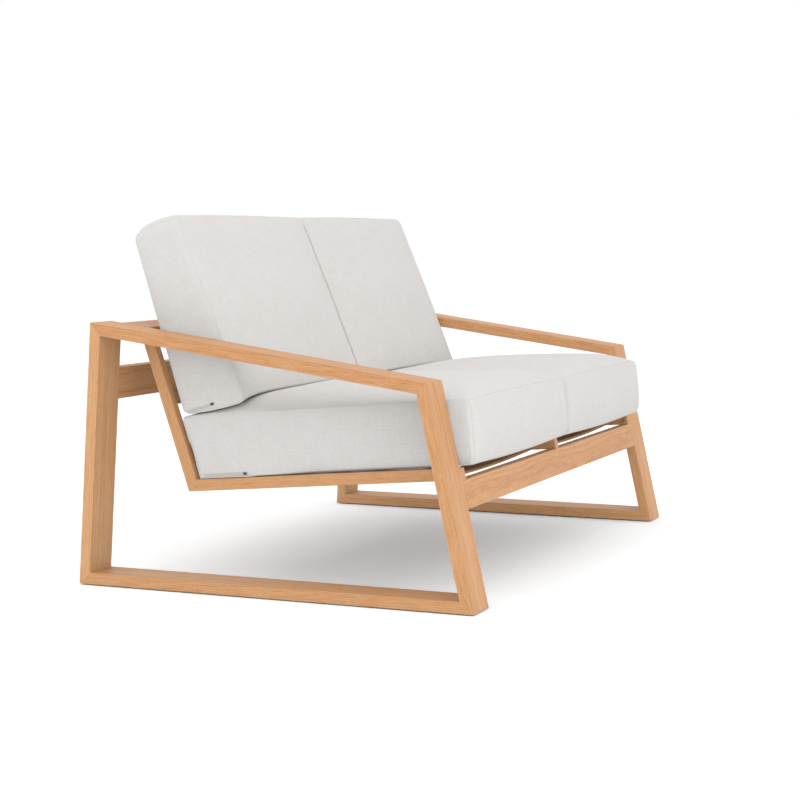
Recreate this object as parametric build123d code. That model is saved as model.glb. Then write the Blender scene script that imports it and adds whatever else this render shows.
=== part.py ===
from build123d import *
import math
import os

# Patio loveseat of solid wood with four loose cushions, in millimetres.
# +X runs to the right, seen from the front; +Y runs to the back; +Z is up.
# The origin is on the floor, in the middle of the footprint.

# Overall sizes
overall_width = 1450.0
overall_depth = 908.0

# Stock and joinery shared by the whole frame
board_width = 90.0  # of the side frames, across the seat
board_thickness = 25.0
edge_ease = 1.2  # radius of the sanded edges
overrun = 10.0  # how far a cut reaches past the wood
fit_clearance = 0.15  # round a tenon, dowel or screw in its hole

# Side frames, all heights from the floor
arm_front_height = 462.0
arm_rear_height = 568.0
leg_setback = 104.0  # how far the top of the front leg stands behind its foot
post_lean = 34.5  # how far the top of the rear post stands in front of its foot
side_tenon_length = 20.0
side_tenon_thickness = 6.0
side_tenon_width = 60.0

# Glides under the runners
glide_height = 2.5
glide_diameter = 28.0
glide_inset = 60.0
glide_pin_diameter = 4.0
glide_pin_length = 14.0

# Seat and back frames: a rail and an upright that meet at a heel
heel_from_rear = 238.5  # inner corner of the heel, in front of the rear feet
heel_height = 230.0
seat_pitch = 5.06  # degrees, rising to the front
back_recline = 18.76  # degrees from upright
rail_width = 22.0  # of a seat rail or upright, across the seat
heel_tenon_length = 20.0
heel_tenon_width = 16.0
heel_tenon_thickness = 6.0

# Rails between the side frames
front_rail_width = 59.5
rear_rail_height = 398.0  # lower edge, measured up the rear post
rear_rail_width = 69.0
top_rail_width = 66.0
top_rail_setback = 3.0  # behind the front faces of the uprights
rail_dowel_diameter = 10.0
rail_dowel_length = 60.0
rail_dowel_spacing = 24.0
upright_dowel_diameter = 6.0
upright_dowel_length = 24.0
frame_screw_length = 50.0
frame_screw_shank = 5.0
frame_screw_head = 10.0

# Sprung slats, let into the outer faces of the rails and uprights
slat_thickness = 5.0
slat_dip = 6.5  # bow of a slat in the middle of its bay
slat_bearing = 10.0  # length of the end that lies in its notch
seat_slat_count = 6
seat_slat_width = 61.0
seat_slat_front_margin = 90.5  # from the front seam of the seat cushion to the first slat
seat_slat_rear_margin = 18.5  # from the last slat to the heel
back_slat_count = 2
back_slat_width = 47.0
back_slat_pitch = 137.0
back_slat_base = 36.0  # lower edge of the lowest slat, from the heel
slat_screw_length = 16.0
slat_screw_shank = 3.5
slat_screw_head = 7.0

# Cushions
soft_clearance = 0.3  # between a cushion and what it rests on or slides past
cushion_side_gap = 1.5  # to the inner face of a side frame
cushion_middle_gap = 0.5  # to the middle of the seat
cover_thickness = 1.5
seam_softness = 16.0  # length of a rounded corner along each of its two faces
heel_softness = 6.0  # the same, of the tighter corner that lies in the heel
full_softness = 400.0  # as much rounding as the run leaves room for
rim_share = 0.02  # part of the crown that is left at the side seams
corner_share = 0.45  # most of a run that one rounded corner takes
cushion_spans = 6  # stretches of the loft from one side seam to the other

# Seat cushion, measured forward from the heel and up from the top faces of the seat rails
seat_rear_gap = 4.0  # to the front faces of the uprights
seat_front_setback = 29.5  # of the front seam, behind the front feet
seat_seam_lift = 5.5  # lower seam
seat_top_seam = 141.0
seat_crown = 48.0
seat_crown_share = 0.515  # of the way from the heel to the front seam
seat_crown_fullness = 2.4
seat_shoulder_setback = 20.0
seat_shoulder_rise = 33.0
seat_rear_rise = 38.0
seat_front_bulge = 13.0
seat_sag_rear_share = 0.235  # where the underside lies flat on the slats, from here
seat_sag_front_share = 0.625  # to here
seat_sag_fullness = 2.0
seat_front_sag = 5.0

# Back cushion, measured up the uprights from the heel and forward from their front faces
back_bottom = 140.0
back_top = 556.0
back_bottom_rear = 16.0
back_bottom_front = 172.0
back_top_rear = 26.0
back_top_front = 140.0
back_top_bow = 5.0
back_top_crown = 14.0
back_front_crown = 34.0
back_rear_share = 0.5  # of the rear corners' setback that is left in the middle
back_fullness = 2.2

# Zips along the lower seams of the outer side panels
zip_tape_width = 5.0
zip_tape_thickness = 0.5
zip_coil_width = 2.4
zip_coil_height = 1.5
zip_margin = 0.5  # from the seam to the tape
zip_end_margin = 2.0  # chain left past each end of the slider's travel
seat_zip_end = 119.0  # the closed slider, forward of the heel
back_zip_end = 91.0  # the closed slider, in front of the uprights
slider_length = 7.0
slider_width = 5.0
slider_wall = 0.9
slider_clearance = 0.3
slider_bridge_length = 4.0
slider_bridge_width = 1.2
slider_bridge_height = 1.2


# Places worked out from the sizes

front_foot = -overall_depth / 2
rear_foot = overall_depth / 2
inner_face = overall_width / 2 - board_width
cushion_outer_side = inner_face - cushion_side_gap
cushion_inner_side = cushion_middle_gap
recline_to_seat = back_recline - seat_pitch
seat_front = overall_depth - heel_from_rear - seat_front_setback
seat_slat_front = seat_front - seat_slat_front_margin
seat_slat_run = seat_slat_front - seat_slat_width - seat_slat_rear_margin
seat_slat_pitch = seat_slat_run / (seat_slat_count - 1)


def slope(degrees_up, forward=-1):
    """Unit step in the side view that rises by an angle while it runs to the front or the back."""
    angle = math.radians(degrees_up)
    return Vector(forward * math.cos(angle), math.sin(angle))


heel = Vector(rear_foot - heel_from_rear, heel_height)
seat_forward = slope(seat_pitch)
seat_up = slope(90 - seat_pitch, forward=1)
back_up = slope(90 - back_recline, forward=1)
back_forward = slope(back_recline)


def seat_point(forward, up):
    """Place in the side view, from the heel along and square to the seat rails."""
    return heel + seat_forward * forward + seat_up * up


def back_point(up, forward):
    """Place in the side view, from the heel along and square to the uprights."""
    return heel + back_up * up + back_forward * forward


def meet(start, direction, other_start, other_direction):
    """Crossing of two lines in the side view."""
    gap = other_start - start
    along = gap.X * other_direction.Y - gap.Y * other_direction.X
    turn = direction.X * other_direction.Y - direction.Y * other_direction.X
    return start + direction * (along / turn)


def left_of(direction):
    """Unit step to the left of a direction in the side view."""
    return Vector(-direction.Y, direction.X).normalized()


def inset(points, amount):
    """Corners of an outline whose sides have all moved inwards by one amount."""
    count = len(points)
    area = sum(points[i - 1].X * points[i].Y - points[i].X * points[i - 1].Y for i in range(count))
    inwards = math.copysign(amount, area)
    corners = []
    for i in range(count):
        into = points[i] - points[i - 1]
        onward = points[(i + 1) % count] - points[i]
        start = points[i] + left_of(into) * inwards
        other = points[i] + left_of(onward) * inwards
        corners.append(meet(start, into, other, onward))
    return corners


def in_space(x, point):
    """Point of the side view as a place in space."""
    return Vector(x, point.X, point.Y)


def prism(points, x_from, x_to):
    """Solid with the given side view, between two places across the seat."""
    outline = Plane.YZ.offset(x_from) * make_face(Polyline(*points, close=True))
    return extrude(outline, amount=x_to - x_from, dir=(1, 0, 0))


def ease_side_edges(solid):
    """Round every edge that lies in one of the two side faces."""
    return fillet(solid.edges().filter_by(Axis.X, reverse=True), edge_ease)


def ease_long_edges(solid):
    """Round the four edges that run across the seat."""
    return fillet(solid.edges().filter_by(Axis.X), edge_ease)


def mitre_tenon(outer, inner, length, width, x_from, x_to):
    """Block let into both boards of a mitred corner, square to the mitre."""
    middle = (outer + inner) / 2
    along = (inner - outer).normalized() * (width / 2)
    through = left_of(inner - outer) * (length / 2)
    corners = [
        middle + along + through,
        middle + along - through,
        middle - along - through,
        middle - along + through,
    ]
    return prism(corners, x_from, x_to)


def rod(start, direction, diameter, length):
    """Round bar from a place along a direction."""
    return extrude(Plane(origin=start, z_dir=direction) * Circle(diameter / 2), amount=length)


def dowel(middle, direction, diameter, length, clearance=0.0):
    """Round bar that lies half on each side of a joint, or with a clearance its hole."""
    full_length = length + 2 * clearance
    start = middle - direction * (full_length / 2)
    return rod(start, direction, diameter + 2 * clearance, full_length)


def screw(place, direction, length, shank, head, clearance=0.0, above=0.0):
    """Countersunk screw from its head down its direction, or with a clearance its hole."""
    head_radius = head / 2 + clearance
    shank_radius = shank / 2 + clearance
    neck = head_radius - shank_radius
    tip = length + clearance
    outline = [(0, -above), (head_radius, -above)]
    if above > 0:
        outline.append((head_radius, 0))
    outline += [(shank_radius, neck), (shank_radius, tip), (0, tip)]
    turned = revolve(Plane.XZ * make_face(Polyline(*outline, close=True)), Axis.Z)
    return Plane(origin=place, z_dir=direction) * turned


def cut(solid, tools):
    """The solid without its cuts."""
    for tool in tools:
        solid = solid - tool
    return solid


# Outlines of the frame in the side view

side_outer = [
    Vector(front_foot, glide_height),
    Vector(rear_foot, glide_height),
    Vector(rear_foot - post_lean, arm_rear_height),
    Vector(front_foot + leg_setback, arm_front_height),
]
side_inner = inset(side_outer, board_thickness)
leg_foot, post_foot, arm_rear, arm_front = side_outer
leg_up = (arm_front - leg_foot).normalized()
post_up = (arm_rear - post_foot).normalized()
arm_back = (arm_rear - arm_front).normalized()
arm_down = -left_of(arm_back)

rail_under = seat_point(0, -board_thickness)
upright_rear = back_point(0, -board_thickness)
heel_outer = meet(rail_under, seat_forward, upright_rear, back_up)
top_rail_front = meet(arm_front, arm_back, back_point(0, -top_rail_setback), back_up)
top_rail_under = top_rail_front + arm_down * board_thickness
seat_frame_outline = [
    meet(leg_foot, leg_up, rail_under, seat_forward),
    heel_outer,
    meet(top_rail_under, arm_back, upright_rear, back_up),
    meet(top_rail_under, arm_back, heel, back_up),
    heel,
    meet(leg_foot, leg_up, heel, seat_forward),
]

front_rail_top = seat_frame_outline[0]
front_rail_bottom = front_rail_top - leg_up * front_rail_width
leg_inwards = -left_of(leg_up) * board_thickness
front_rail_outline = [
    front_rail_bottom,
    front_rail_bottom + leg_inwards,
    meet(leg_foot + leg_inwards, leg_up, rail_under, seat_forward),
    front_rail_top,
]
post_inwards = left_of(post_up) * board_thickness
rear_rail_bottom = post_foot + post_up * rear_rail_height
rear_rail_top = rear_rail_bottom + post_up * rear_rail_width
rear_rail_outline = [
    rear_rail_bottom,
    rear_rail_top,
    rear_rail_top + post_inwards,
    rear_rail_bottom + post_inwards,
]
top_rail_outline = [
    top_rail_front,
    top_rail_front + arm_back * top_rail_width,
    top_rail_under + arm_back * top_rail_width,
    top_rail_under,
]

seat_frame_places = {
    "left": -inner_face + rail_width / 2,
    "centre": 0.0,
    "right": inner_face - rail_width / 2,
}
bay_places = {
    "left": (seat_frame_places["left"], seat_frame_places["centre"]),
    "right": (seat_frame_places["centre"], seat_frame_places["right"]),
}


# Glides, nailed up into the runners

def glide(x, y, clearance=0.0):
    """Disc that stands on the floor, with its pin, or with a clearance the pin's hole."""
    pin_length = glide_pin_length + clearance
    pin = rod(Vector(x, y, glide_height), Vector(0, 0, 1), glide_pin_diameter + 2 * clearance, pin_length)
    if clearance > 0:
        return pin
    return rod(Vector(x, y, 0), Vector(0, 0, 1), glide_diameter, glide_height) + pin


glide_places = [
    (side * (overall_width - board_width) / 2, end * (overall_depth / 2 - glide_inset))
    for side in (-1, 1)
    for end in (-1, 1)
]
glides = [glide(x, y) for x, y in glide_places]


# Dowels at the ends of the three rails

def rail_dowels(clearance=0.0):
    """Two dowels at each end of each rail, spaced along the rail's width."""
    pieces = []
    for outline, along in (
        (front_rail_outline, leg_up),
        (rear_rail_outline, post_up),
        (top_rail_outline, arm_back),
    ):
        middle = (outline[0] + outline[1] + outline[2] + outline[3]) / len(outline)
        for x in (-inner_face, inner_face):
            for step in (-rail_dowel_spacing / 2, rail_dowel_spacing / 2):
                place = in_space(x, middle + along * step)
                pieces.append(dowel(place, Vector(1, 0, 0), rail_dowel_diameter, rail_dowel_length, clearance))
    return pieces


# Side frames: a runner, post, arm and leg with mitred corners and loose tenons

side_board_names = ("runner", "rear_post", "arm_rail", "front_leg")


def side_tenons(middle_x, clearance=0.0):
    """The loose tenons of one side frame, one in each corner."""
    half = side_tenon_width / 2 + clearance
    return [
        mitre_tenon(
            outer,
            inner,
            side_tenon_length + 2 * clearance,
            side_tenon_thickness + 2 * clearance,
            middle_x - half,
            middle_x + half,
        )
        for outer, inner in zip(side_outer, side_inner)
    ]


def side_boards(side, x_from, x_to):
    """The four boards of one side frame, cut from one eased ring along its mitres."""
    ring = ease_side_edges(prism(side_outer, x_from, x_to) - prism(side_inner, x_from, x_to))
    ring = cut(ring, side_tenons((x_from + x_to) / 2, fit_clearance))
    ring = cut(ring, rail_dowels(fit_clearance))
    ring = cut(ring, [glide(x, y, fit_clearance) for x, y in glide_places])
    ring = cut(ring, [frame_screw(x, fit_clearance) for x in seat_frame_places.values() if x != 0])
    boards = {}
    for i, name in enumerate(side_board_names):
        j = (i + 1) % len(side_outer)
        first_mitre = (side_outer[i] - side_inner[i]).normalized() * overrun
        second_mitre = (side_outer[j] - side_inner[j]).normalized() * overrun
        wedge = [
            side_outer[i] + first_mitre,
            side_outer[j] + second_mitre,
            side_inner[j] - second_mitre,
            side_inner[i] - first_mitre,
        ]
        boards[f"{side}_{name}"] = ring & prism(wedge, x_from - overrun, x_to + overrun)
    return boards


# Sprung slats and their screws

def seat_slat_bench(number):
    """Working plane of a seat slat: X across, Y down out of the seat, Z to the rear."""
    front = seat_slat_front - number * seat_slat_pitch
    return Plane(origin=in_space(0, seat_point(front, 0)), x_dir=(1, 0, 0), z_dir=in_space(0, -seat_forward))


def back_slat_bench(number):
    """Working plane of a back slat: X across, Y out of the back, Z up the uprights."""
    base = back_slat_base + number * back_slat_pitch
    return Plane(origin=in_space(0, back_point(base, 0)), x_dir=(1, 0, 0), z_dir=in_space(0, back_up))


def slat_ends(bay):
    """Where a slat of a bay begins and ends, inside the notches of its two rails."""
    first, second = bay_places[bay]
    bearing = slat_bearing - fit_clearance
    return first + rail_width / 2 - bearing, second - rail_width / 2 + bearing


def slat_screw_seats(bench, bay, width):
    """Head places of a slat's two screws and the direction in which they are driven."""
    x_from, x_to = slat_ends(bay)
    inwards = -bench.y_dir
    return [
        (bench.from_local_coords(Vector(x, board_thickness, width / 2)), inwards)
        for x in (x_from + slat_bearing / 2, x_to - slat_bearing / 2)
    ]


def slat_screws(bench, bay, width, clearance=0.0, above=0.0):
    """A slat's two screws, or with a clearance their holes."""
    return [
        screw(place, inwards, slat_screw_length, slat_screw_shank, slat_screw_head, clearance, above)
        for place, inwards in slat_screw_seats(bench, bay, width)
    ]


def slat(bench, bay, width):
    """Slat bowed out of its bay, with both ends flush in the outer faces of its rails."""
    x_from, x_to = slat_ends(bay)
    middle = (x_from + x_to) / 2
    face_depth = board_thickness - slat_thickness
    upper = ThreePointArc((x_from, face_depth), (middle, face_depth + slat_dip), (x_to, face_depth))
    lower_middle = (middle, board_thickness + slat_dip)
    lower = ThreePointArc((x_from, board_thickness), lower_middle, (x_to, board_thickness))
    outline = make_face([upper, lower, Line(upper @ 0, lower @ 0), Line(upper @ 1, lower @ 1)])
    blank = extrude(bench * outline, amount=width, dir=bench.z_dir)
    return cut(blank, slat_screws(bench, bay, width, fit_clearance, overrun))


def slat_notch(bench, bay, width):
    """What a slat's ends take out of the rails."""
    x_from, x_to = slat_ends(bay)
    length = x_to - x_from + 2 * fit_clearance
    floor = board_thickness - slat_thickness - fit_clearance
    depth = board_thickness + overrun - floor
    outline = Pos((x_from + x_to) / 2, floor + depth / 2) * Rectangle(length, depth)
    blank = extrude(bench * outline, amount=width + 2 * fit_clearance, dir=bench.z_dir)
    return blank.moved(Location(bench.z_dir * -fit_clearance))


def slat_benches():
    """Every slat's name, working plane, bay and width."""
    rows = []
    for bay in bay_places:
        for number in range(seat_slat_count):
            rows.append((f"{bay}_seat_slat_{number + 1}", seat_slat_bench(number), bay, seat_slat_width))
        for number in range(back_slat_count):
            rows.append((f"{bay}_back_slat_{number + 1}", back_slat_bench(number), bay, back_slat_width))
    return rows


# Seat frames: a rail and an upright mitred at the heel, three of them

def heel_tenon(middle_x, clearance=0.0):
    """Loose tenon in the mitre of a heel."""
    half = heel_tenon_thickness / 2 + clearance
    length = heel_tenon_length + 2 * clearance
    width = heel_tenon_width + 2 * clearance
    return mitre_tenon(heel_outer, heel, length, width, middle_x - half, middle_x + half)


def frame_screw(middle_x, clearance=0.0):
    """Screw through the front end of a seat rail: outwards into the leg, or down into the front rail."""
    if middle_x == 0:
        middle = (front_rail_outline[2] + front_rail_outline[3]) / 2
        place = in_space(middle_x, middle + seat_up * board_thickness)
        direction = in_space(0, -seat_up)
    else:
        outwards = math.copysign(1, middle_x)
        middle = (seat_frame_outline[0] + seat_frame_outline[5] + leg_inwards) / 2
        place = in_space(middle_x - outwards * rail_width / 2, middle)
        direction = Vector(outwards, 0, 0)
    return screw(place, direction, frame_screw_length, frame_screw_shank, frame_screw_head, clearance)


def upright_dowel(middle_x, clearance=0.0):
    """Dowel from the upper end of an upright into the top rail."""
    middle = (seat_frame_outline[2] + meet(top_rail_under, arm_back, top_rail_under, back_up)) / 2
    return dowel(
        in_space(middle_x, middle), in_space(0, back_up), upright_dowel_diameter, upright_dowel_length, clearance
    )


def seat_frame(name, middle_x):
    """The seat rail and the upright of one frame."""
    x_from = middle_x - rail_width / 2
    x_to = middle_x + rail_width / 2
    whole = ease_side_edges(prism(seat_frame_outline, x_from, x_to))
    for slat_name, bench, bay, width in slat_benches():
        if middle_x in bay_places[bay]:
            whole = whole - slat_notch(bench, bay, width)
            whole = cut(whole, slat_screws(bench, bay, width, fit_clearance))
    whole = whole - heel_tenon(middle_x, fit_clearance)
    whole = whole - frame_screw(middle_x, fit_clearance)
    whole = whole - upright_dowel(middle_x, fit_clearance)
    across_mitre = left_of(heel_outer - heel)
    mitre = Plane(origin=in_space(middle_x, heel), x_dir=(1, 0, 0), z_dir=in_space(0, across_mitre))
    pieces = [split(whole, bisect_by=mitre, keep=Keep.TOP), split(whole, bisect_by=mitre, keep=Keep.BOTTOM)]
    rail, upright = sorted(pieces, key=lambda piece: piece.center().Y)
    return {f"{name}_seat_rail": rail, f"{name}_back_upright": upright}


# Rails between the side frames

def cross_rails():
    """The front rail, the lower rear rail and the top rail."""
    rails = {
        "front_rail": front_rail_outline,
        "lower_rear_rail": rear_rail_outline,
        "top_rail": top_rail_outline,
    }
    holes = rail_dowels(fit_clearance)
    holes.append(frame_screw(seat_frame_places["centre"], fit_clearance))
    holes += [upright_dowel(x, fit_clearance) for x in seat_frame_places.values()]
    return {
        name: cut(ease_long_edges(prism(outline, -inner_face, inner_face)), holes)
        for name, outline in rails.items()
    }


# Cushions: a sewn cover round a foam core, lofted from side seam to side seam

def softened(points, reaches):
    """Closed outline of straight runs with an arc at every corner."""
    count = len(points)
    starts = []
    middles = []
    ends = []
    for i in range(count):
        corner = points[i]
        back = points[i - 1] - corner
        onward = points[(i + 1) % count] - corner
        reach = min(reaches[i], corner_share * back.length, corner_share * onward.length)
        half_turn = 90 - back.get_angle(onward) / 2
        bisector = (back.normalized() + onward.normalized()).normalized()
        starts.append(corner + back.normalized() * reach)
        middles.append(corner + bisector * (reach * math.tan(math.radians(half_turn / 2))))
        ends.append(corner + onward.normalized() * reach)
    edges = []
    for i in range(count):
        edges.append(ThreePointArc(starts[i], middles[i], ends[i]))
        edges.append(Line(ends[i], starts[(i + 1) % count]))
    return Wire([edge for line in edges for edge in line.edges()])


def cushion_form(rows, x_from, x_to, skin=0.0):
    """Cushion whose outline swells from its seams to its middle, drawn in by a skin."""
    sections = []
    for station in range(cushion_spans + 1):
        across = station / cushion_spans
        from_middle = abs(2 * across - 1)
        corners = []
        for flat, full, reach, fullness in rows:
            swell = rim_share + (1 - rim_share) * (1 - from_middle**fullness)
            corners.append(flat + (full - flat) * swell)
        if skin > 0:
            corners = inset(corners, skin)
        x = x_from + skin + (x_to - x_from - 2 * skin) * across
        sections.append(Plane.YZ.offset(x) * softened(corners, [row[2] for row in rows]))
    return Solid.make_loft(sections)


def seat_cushion_rows():
    """Corners of the seat cushion: at the seam, in the middle, their rounding and their fullness."""
    lean = math.radians(recline_to_seat)
    rest = -(board_thickness - slat_thickness + slat_dip) + soft_clearance
    top = seat_top_seam
    low = seat_seam_lift
    middle = (top + low) / 2
    sag_rear = seat_front * seat_sag_rear_share
    sag_front = seat_front * seat_sag_front_share
    crown_place = seat_front * seat_crown_share
    shoulder = seat_front - seat_shoulder_setback
    press = back_bottom - soft_clearance
    rear_height = top + seat_rear_rise
    rear_place = (rear_height * math.cos(lean) - press) / math.sin(lean)
    rear_low = seat_point((seat_rear_gap - low * math.sin(lean)) / math.cos(lean), low)
    rear_top = back_point(press, seat_rear_gap)

    def at(forward, up, full_forward, full_up):
        return seat_point(forward, up), seat_point(full_forward, full_up)

    return [
        (rear_low, rear_low, heel_softness, seat_sag_fullness),
        (*at(sag_rear, low, sag_rear, rest), full_softness, seat_sag_fullness),
        (*at(sag_front, low, sag_front, rest), full_softness, seat_sag_fullness),
        (*at(seat_front, low, seat_front, low - seat_front_sag), seam_softness, seat_sag_fullness),
        (*at(seat_front, middle, seat_front + seat_front_bulge, middle), full_softness, seat_crown_fullness),
        (*at(seat_front, top, seat_front, top), seam_softness, seat_crown_fullness),
        (*at(shoulder, top, shoulder, top + seat_shoulder_rise), full_softness, seat_crown_fullness),
        (*at(crown_place, top, crown_place, top + seat_crown), full_softness, seat_crown_fullness),
        (*at(rear_place, top, rear_place, rear_height), full_softness, seat_crown_fullness),
        (rear_top, rear_top, seam_softness, seat_crown_fullness),
    ]


def back_cushion_rows():
    """Corners of the back cushion: at the seam, in the middle, their rounding and their fullness."""
    middle_up = (back_bottom + back_top) / 2
    front_middle = (back_bottom_front + back_top_front) / 2
    rear_middle = (back_bottom_rear + back_top_rear) / 2
    top_middle = (back_top_rear + back_top_front) / 2
    bottom_full = back_bottom_rear * back_rear_share
    top_full = back_top_rear * back_rear_share

    def at(up, forward, full_up, full_forward):
        return back_point(up, forward), back_point(full_up, full_forward)

    return [
        (*at(back_bottom, back_bottom_rear, back_bottom, bottom_full), seam_softness, back_fullness),
        (*at(back_bottom, back_bottom_front, back_bottom, back_bottom_front), seam_softness, back_fullness),
        (
            *at(middle_up, front_middle, middle_up, front_middle + back_front_crown),
            full_softness,
            back_fullness,
        ),
        (*at(back_top, back_top_front, back_top, back_top_front), seam_softness, back_fullness),
        (
            *at(back_top + back_top_bow, top_middle, back_top + back_top_crown, top_middle),
            full_softness,
            back_fullness,
        ),
        (*at(back_top, back_top_rear, back_top, top_full), seam_softness, back_fullness),
        (*at(middle_up, rear_middle, middle_up, soft_clearance), full_softness, back_fullness),
    ]


def cushion(name, rows, x_from, x_to):
    """A cover with its hollow and the foam core that fills it."""
    outer = cushion_form(rows, x_from, x_to)
    hollow = cushion_form(rows, x_from, x_to, cover_thickness)
    core = cushion_form(rows, x_from, x_to, cover_thickness + fit_clearance)
    return {f"{name}_cover": outer - hollow, f"{name}_foam": core}


# Zips: a chain on each outer side panel and the slider that rides on it

def zip_bench(side, place, rearwards):
    """Working plane of a zip: X rearwards along the seam, Z out of the side panel."""
    outwards = -1 if side == "left" else 1
    return Plane(
        origin=in_space(outwards * cushion_outer_side, place),
        x_dir=in_space(0, rearwards),
        z_dir=(outwards, 0, 0),
    )


def block(bench, x_from, x_to, width, z_from, z_to):
    """Box on a working plane, centred across it."""
    outline = Pos((x_from + x_to) / 2, 0) * Rectangle(x_to - x_from, width)
    return extrude(bench.offset(z_from) * outline, amount=z_to - z_from)


def zip_chain(bench, travel):
    """Tape with its coil, from just in front of the closed slider to past the open one."""
    start = -slider_length / 2 - zip_end_margin
    end = travel + slider_length / 2 + zip_end_margin
    tape = block(bench, start, end, zip_tape_width, 0, zip_tape_thickness)
    return tape + block(bench, start, end, zip_coil_width, 0, zip_coil_height)


def zip_slider(bench):
    """Slider that straddles the coil, with its bridge and no pull."""
    half = slider_length / 2
    plate_from = zip_coil_height + slider_clearance
    plate_to = plate_from + slider_wall
    body = block(bench, -half, half, slider_width, zip_tape_thickness + slider_clearance, plate_to)
    channel = zip_coil_width + 2 * slider_clearance
    body = body - block(bench, -half - overrun, half + overrun, channel, 0, plate_from)
    bridge_half = slider_bridge_length / 2
    bridge_to = plate_to + slider_bridge_height
    return body + block(bench, -bridge_half, bridge_half, slider_bridge_width, plate_from, bridge_to)


zip_rise = zip_margin + zip_tape_width / 2
seat_zip_place = seat_point(seat_zip_end, seat_seam_lift + zip_rise)
back_zip_place = back_point(back_bottom + zip_rise, back_zip_end)
zip_rear_margin = seam_softness + slider_length / 2 + zip_end_margin
seat_zip_travel = seat_zip_end - seat_rear_gap - zip_rear_margin
back_zip_travel = back_zip_end - back_bottom_rear - zip_rear_margin


# Every piece by its node name

def build_parts():
    """All pieces of the loveseat, keyed by node name."""
    parts = {}
    half_width = overall_width / 2
    parts.update(side_boards("left", -half_width, -inner_face))
    parts.update(side_boards("right", inner_face, half_width))
    side_middle = (half_width + inner_face) / 2
    parts["side_frame_tenons"] = Compound(side_tenons(-side_middle) + side_tenons(side_middle))
    parts["glides"] = Compound(glides)
    parts.update(cross_rails())
    parts["rail_dowels"] = Compound(rail_dowels())
    for name, middle_x in seat_frame_places.items():
        parts.update(seat_frame(name, middle_x))
    parts["heel_tenons"] = Compound([heel_tenon(x) for x in seat_frame_places.values()])
    parts["frame_screws"] = Compound([frame_screw(x) for x in seat_frame_places.values()])
    parts["upright_dowels"] = Compound([upright_dowel(x) for x in seat_frame_places.values()])
    screws = []
    for name, bench, bay, width in slat_benches():
        parts[name] = slat(bench, bay, width)
        screws += slat_screws(bench, bay, width)
    parts["slat_screws"] = Compound(screws)
    spans = {
        "left": (-cushion_outer_side, -cushion_inner_side),
        "right": (cushion_inner_side, cushion_outer_side),
    }
    for side, (x_from, x_to) in spans.items():
        parts.update(cushion(f"{side}_seat_cushion", seat_cushion_rows(), x_from, x_to))
        parts.update(cushion(f"{side}_back_cushion", back_cushion_rows(), x_from, x_to))
        seat_bench = zip_bench(side, seat_zip_place, -seat_forward)
        back_bench = zip_bench(side, back_zip_place, -back_forward)
        parts[f"{side}_seat_zip"] = zip_chain(seat_bench, seat_zip_travel)
        parts[f"{side}_back_zip"] = zip_chain(back_bench, back_zip_travel)
        parts[f"{side}_seat_zip_slider"] = zip_slider(seat_bench)
        parts[f"{side}_back_zip_slider"] = zip_slider(back_bench)
    return parts


os.makedirs("parts", exist_ok=True)
all_parts = build_parts()
for node, shape in all_parts.items():
    export_step(shape, f"parts/{node}.step")
print(len(all_parts), "nodes written")
print("seat zip travel", round(seat_zip_travel, 2), "back zip travel", round(back_zip_travel, 2))
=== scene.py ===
import math

import bmesh
import bpy
import numpy as np
from mathutils import Euler, Matrix, Vector


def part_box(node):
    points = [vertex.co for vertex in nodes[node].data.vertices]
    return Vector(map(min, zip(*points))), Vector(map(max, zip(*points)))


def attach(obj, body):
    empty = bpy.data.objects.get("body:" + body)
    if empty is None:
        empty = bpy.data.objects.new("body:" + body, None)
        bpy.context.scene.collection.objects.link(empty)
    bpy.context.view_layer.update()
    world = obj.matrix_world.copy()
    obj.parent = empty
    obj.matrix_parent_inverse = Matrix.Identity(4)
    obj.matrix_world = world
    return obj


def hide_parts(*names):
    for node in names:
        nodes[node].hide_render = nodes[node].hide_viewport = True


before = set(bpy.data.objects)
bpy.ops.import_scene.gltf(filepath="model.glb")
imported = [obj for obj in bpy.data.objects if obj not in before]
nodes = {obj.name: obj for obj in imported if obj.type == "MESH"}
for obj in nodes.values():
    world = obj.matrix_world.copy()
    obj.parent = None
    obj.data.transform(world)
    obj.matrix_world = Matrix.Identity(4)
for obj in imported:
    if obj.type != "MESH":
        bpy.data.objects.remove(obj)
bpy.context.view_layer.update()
mm = 0.001


# The view
# A long lens at the photograph's place, low down and well to the left of the loveseat. Its place and turn
# were solved from the corners of the two side frames.

camera_place = Vector((-4262.4, -1741.0, 759.1)) * mm
camera_azimuth = math.radians(-67.765)
camera_elevation = math.radians(4.972)
camera_roll = math.radians(0.086)
lens_length = 86.41
sensor_width = 36.0
view_reach = 100  # metres

backwards = Vector((
    math.sin(camera_azimuth) * math.cos(camera_elevation),
    -math.cos(camera_azimuth) * math.cos(camera_elevation),
    math.sin(camera_elevation),
))
level_right = Vector((0, 0, 1)).cross(backwards).normalized()
level_up = backwards.cross(level_right)
right = math.cos(camera_roll) * level_right + math.sin(camera_roll) * level_up
up = backwards.cross(right)
camera_data = bpy.data.cameras.new("camera")
camera_data.lens = lens_length
camera_data.sensor_width = sensor_width
camera_data.clip_end = view_reach
camera = bpy.data.objects.new("camera", camera_data)
camera.matrix_world = Matrix.Translation(camera_place) @ Matrix((right, up, backwards)).transposed().to_4x4()
bpy.context.scene.collection.objects.link(camera)
bpy.context.scene.camera = camera


# The studio
# A seamless white floor under an even white sky, with wide soft lamps in front, on the left and overhead.
# The camera sees the floor brighter than the pieces do, so that it is white wherever no shadow falls.

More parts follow.
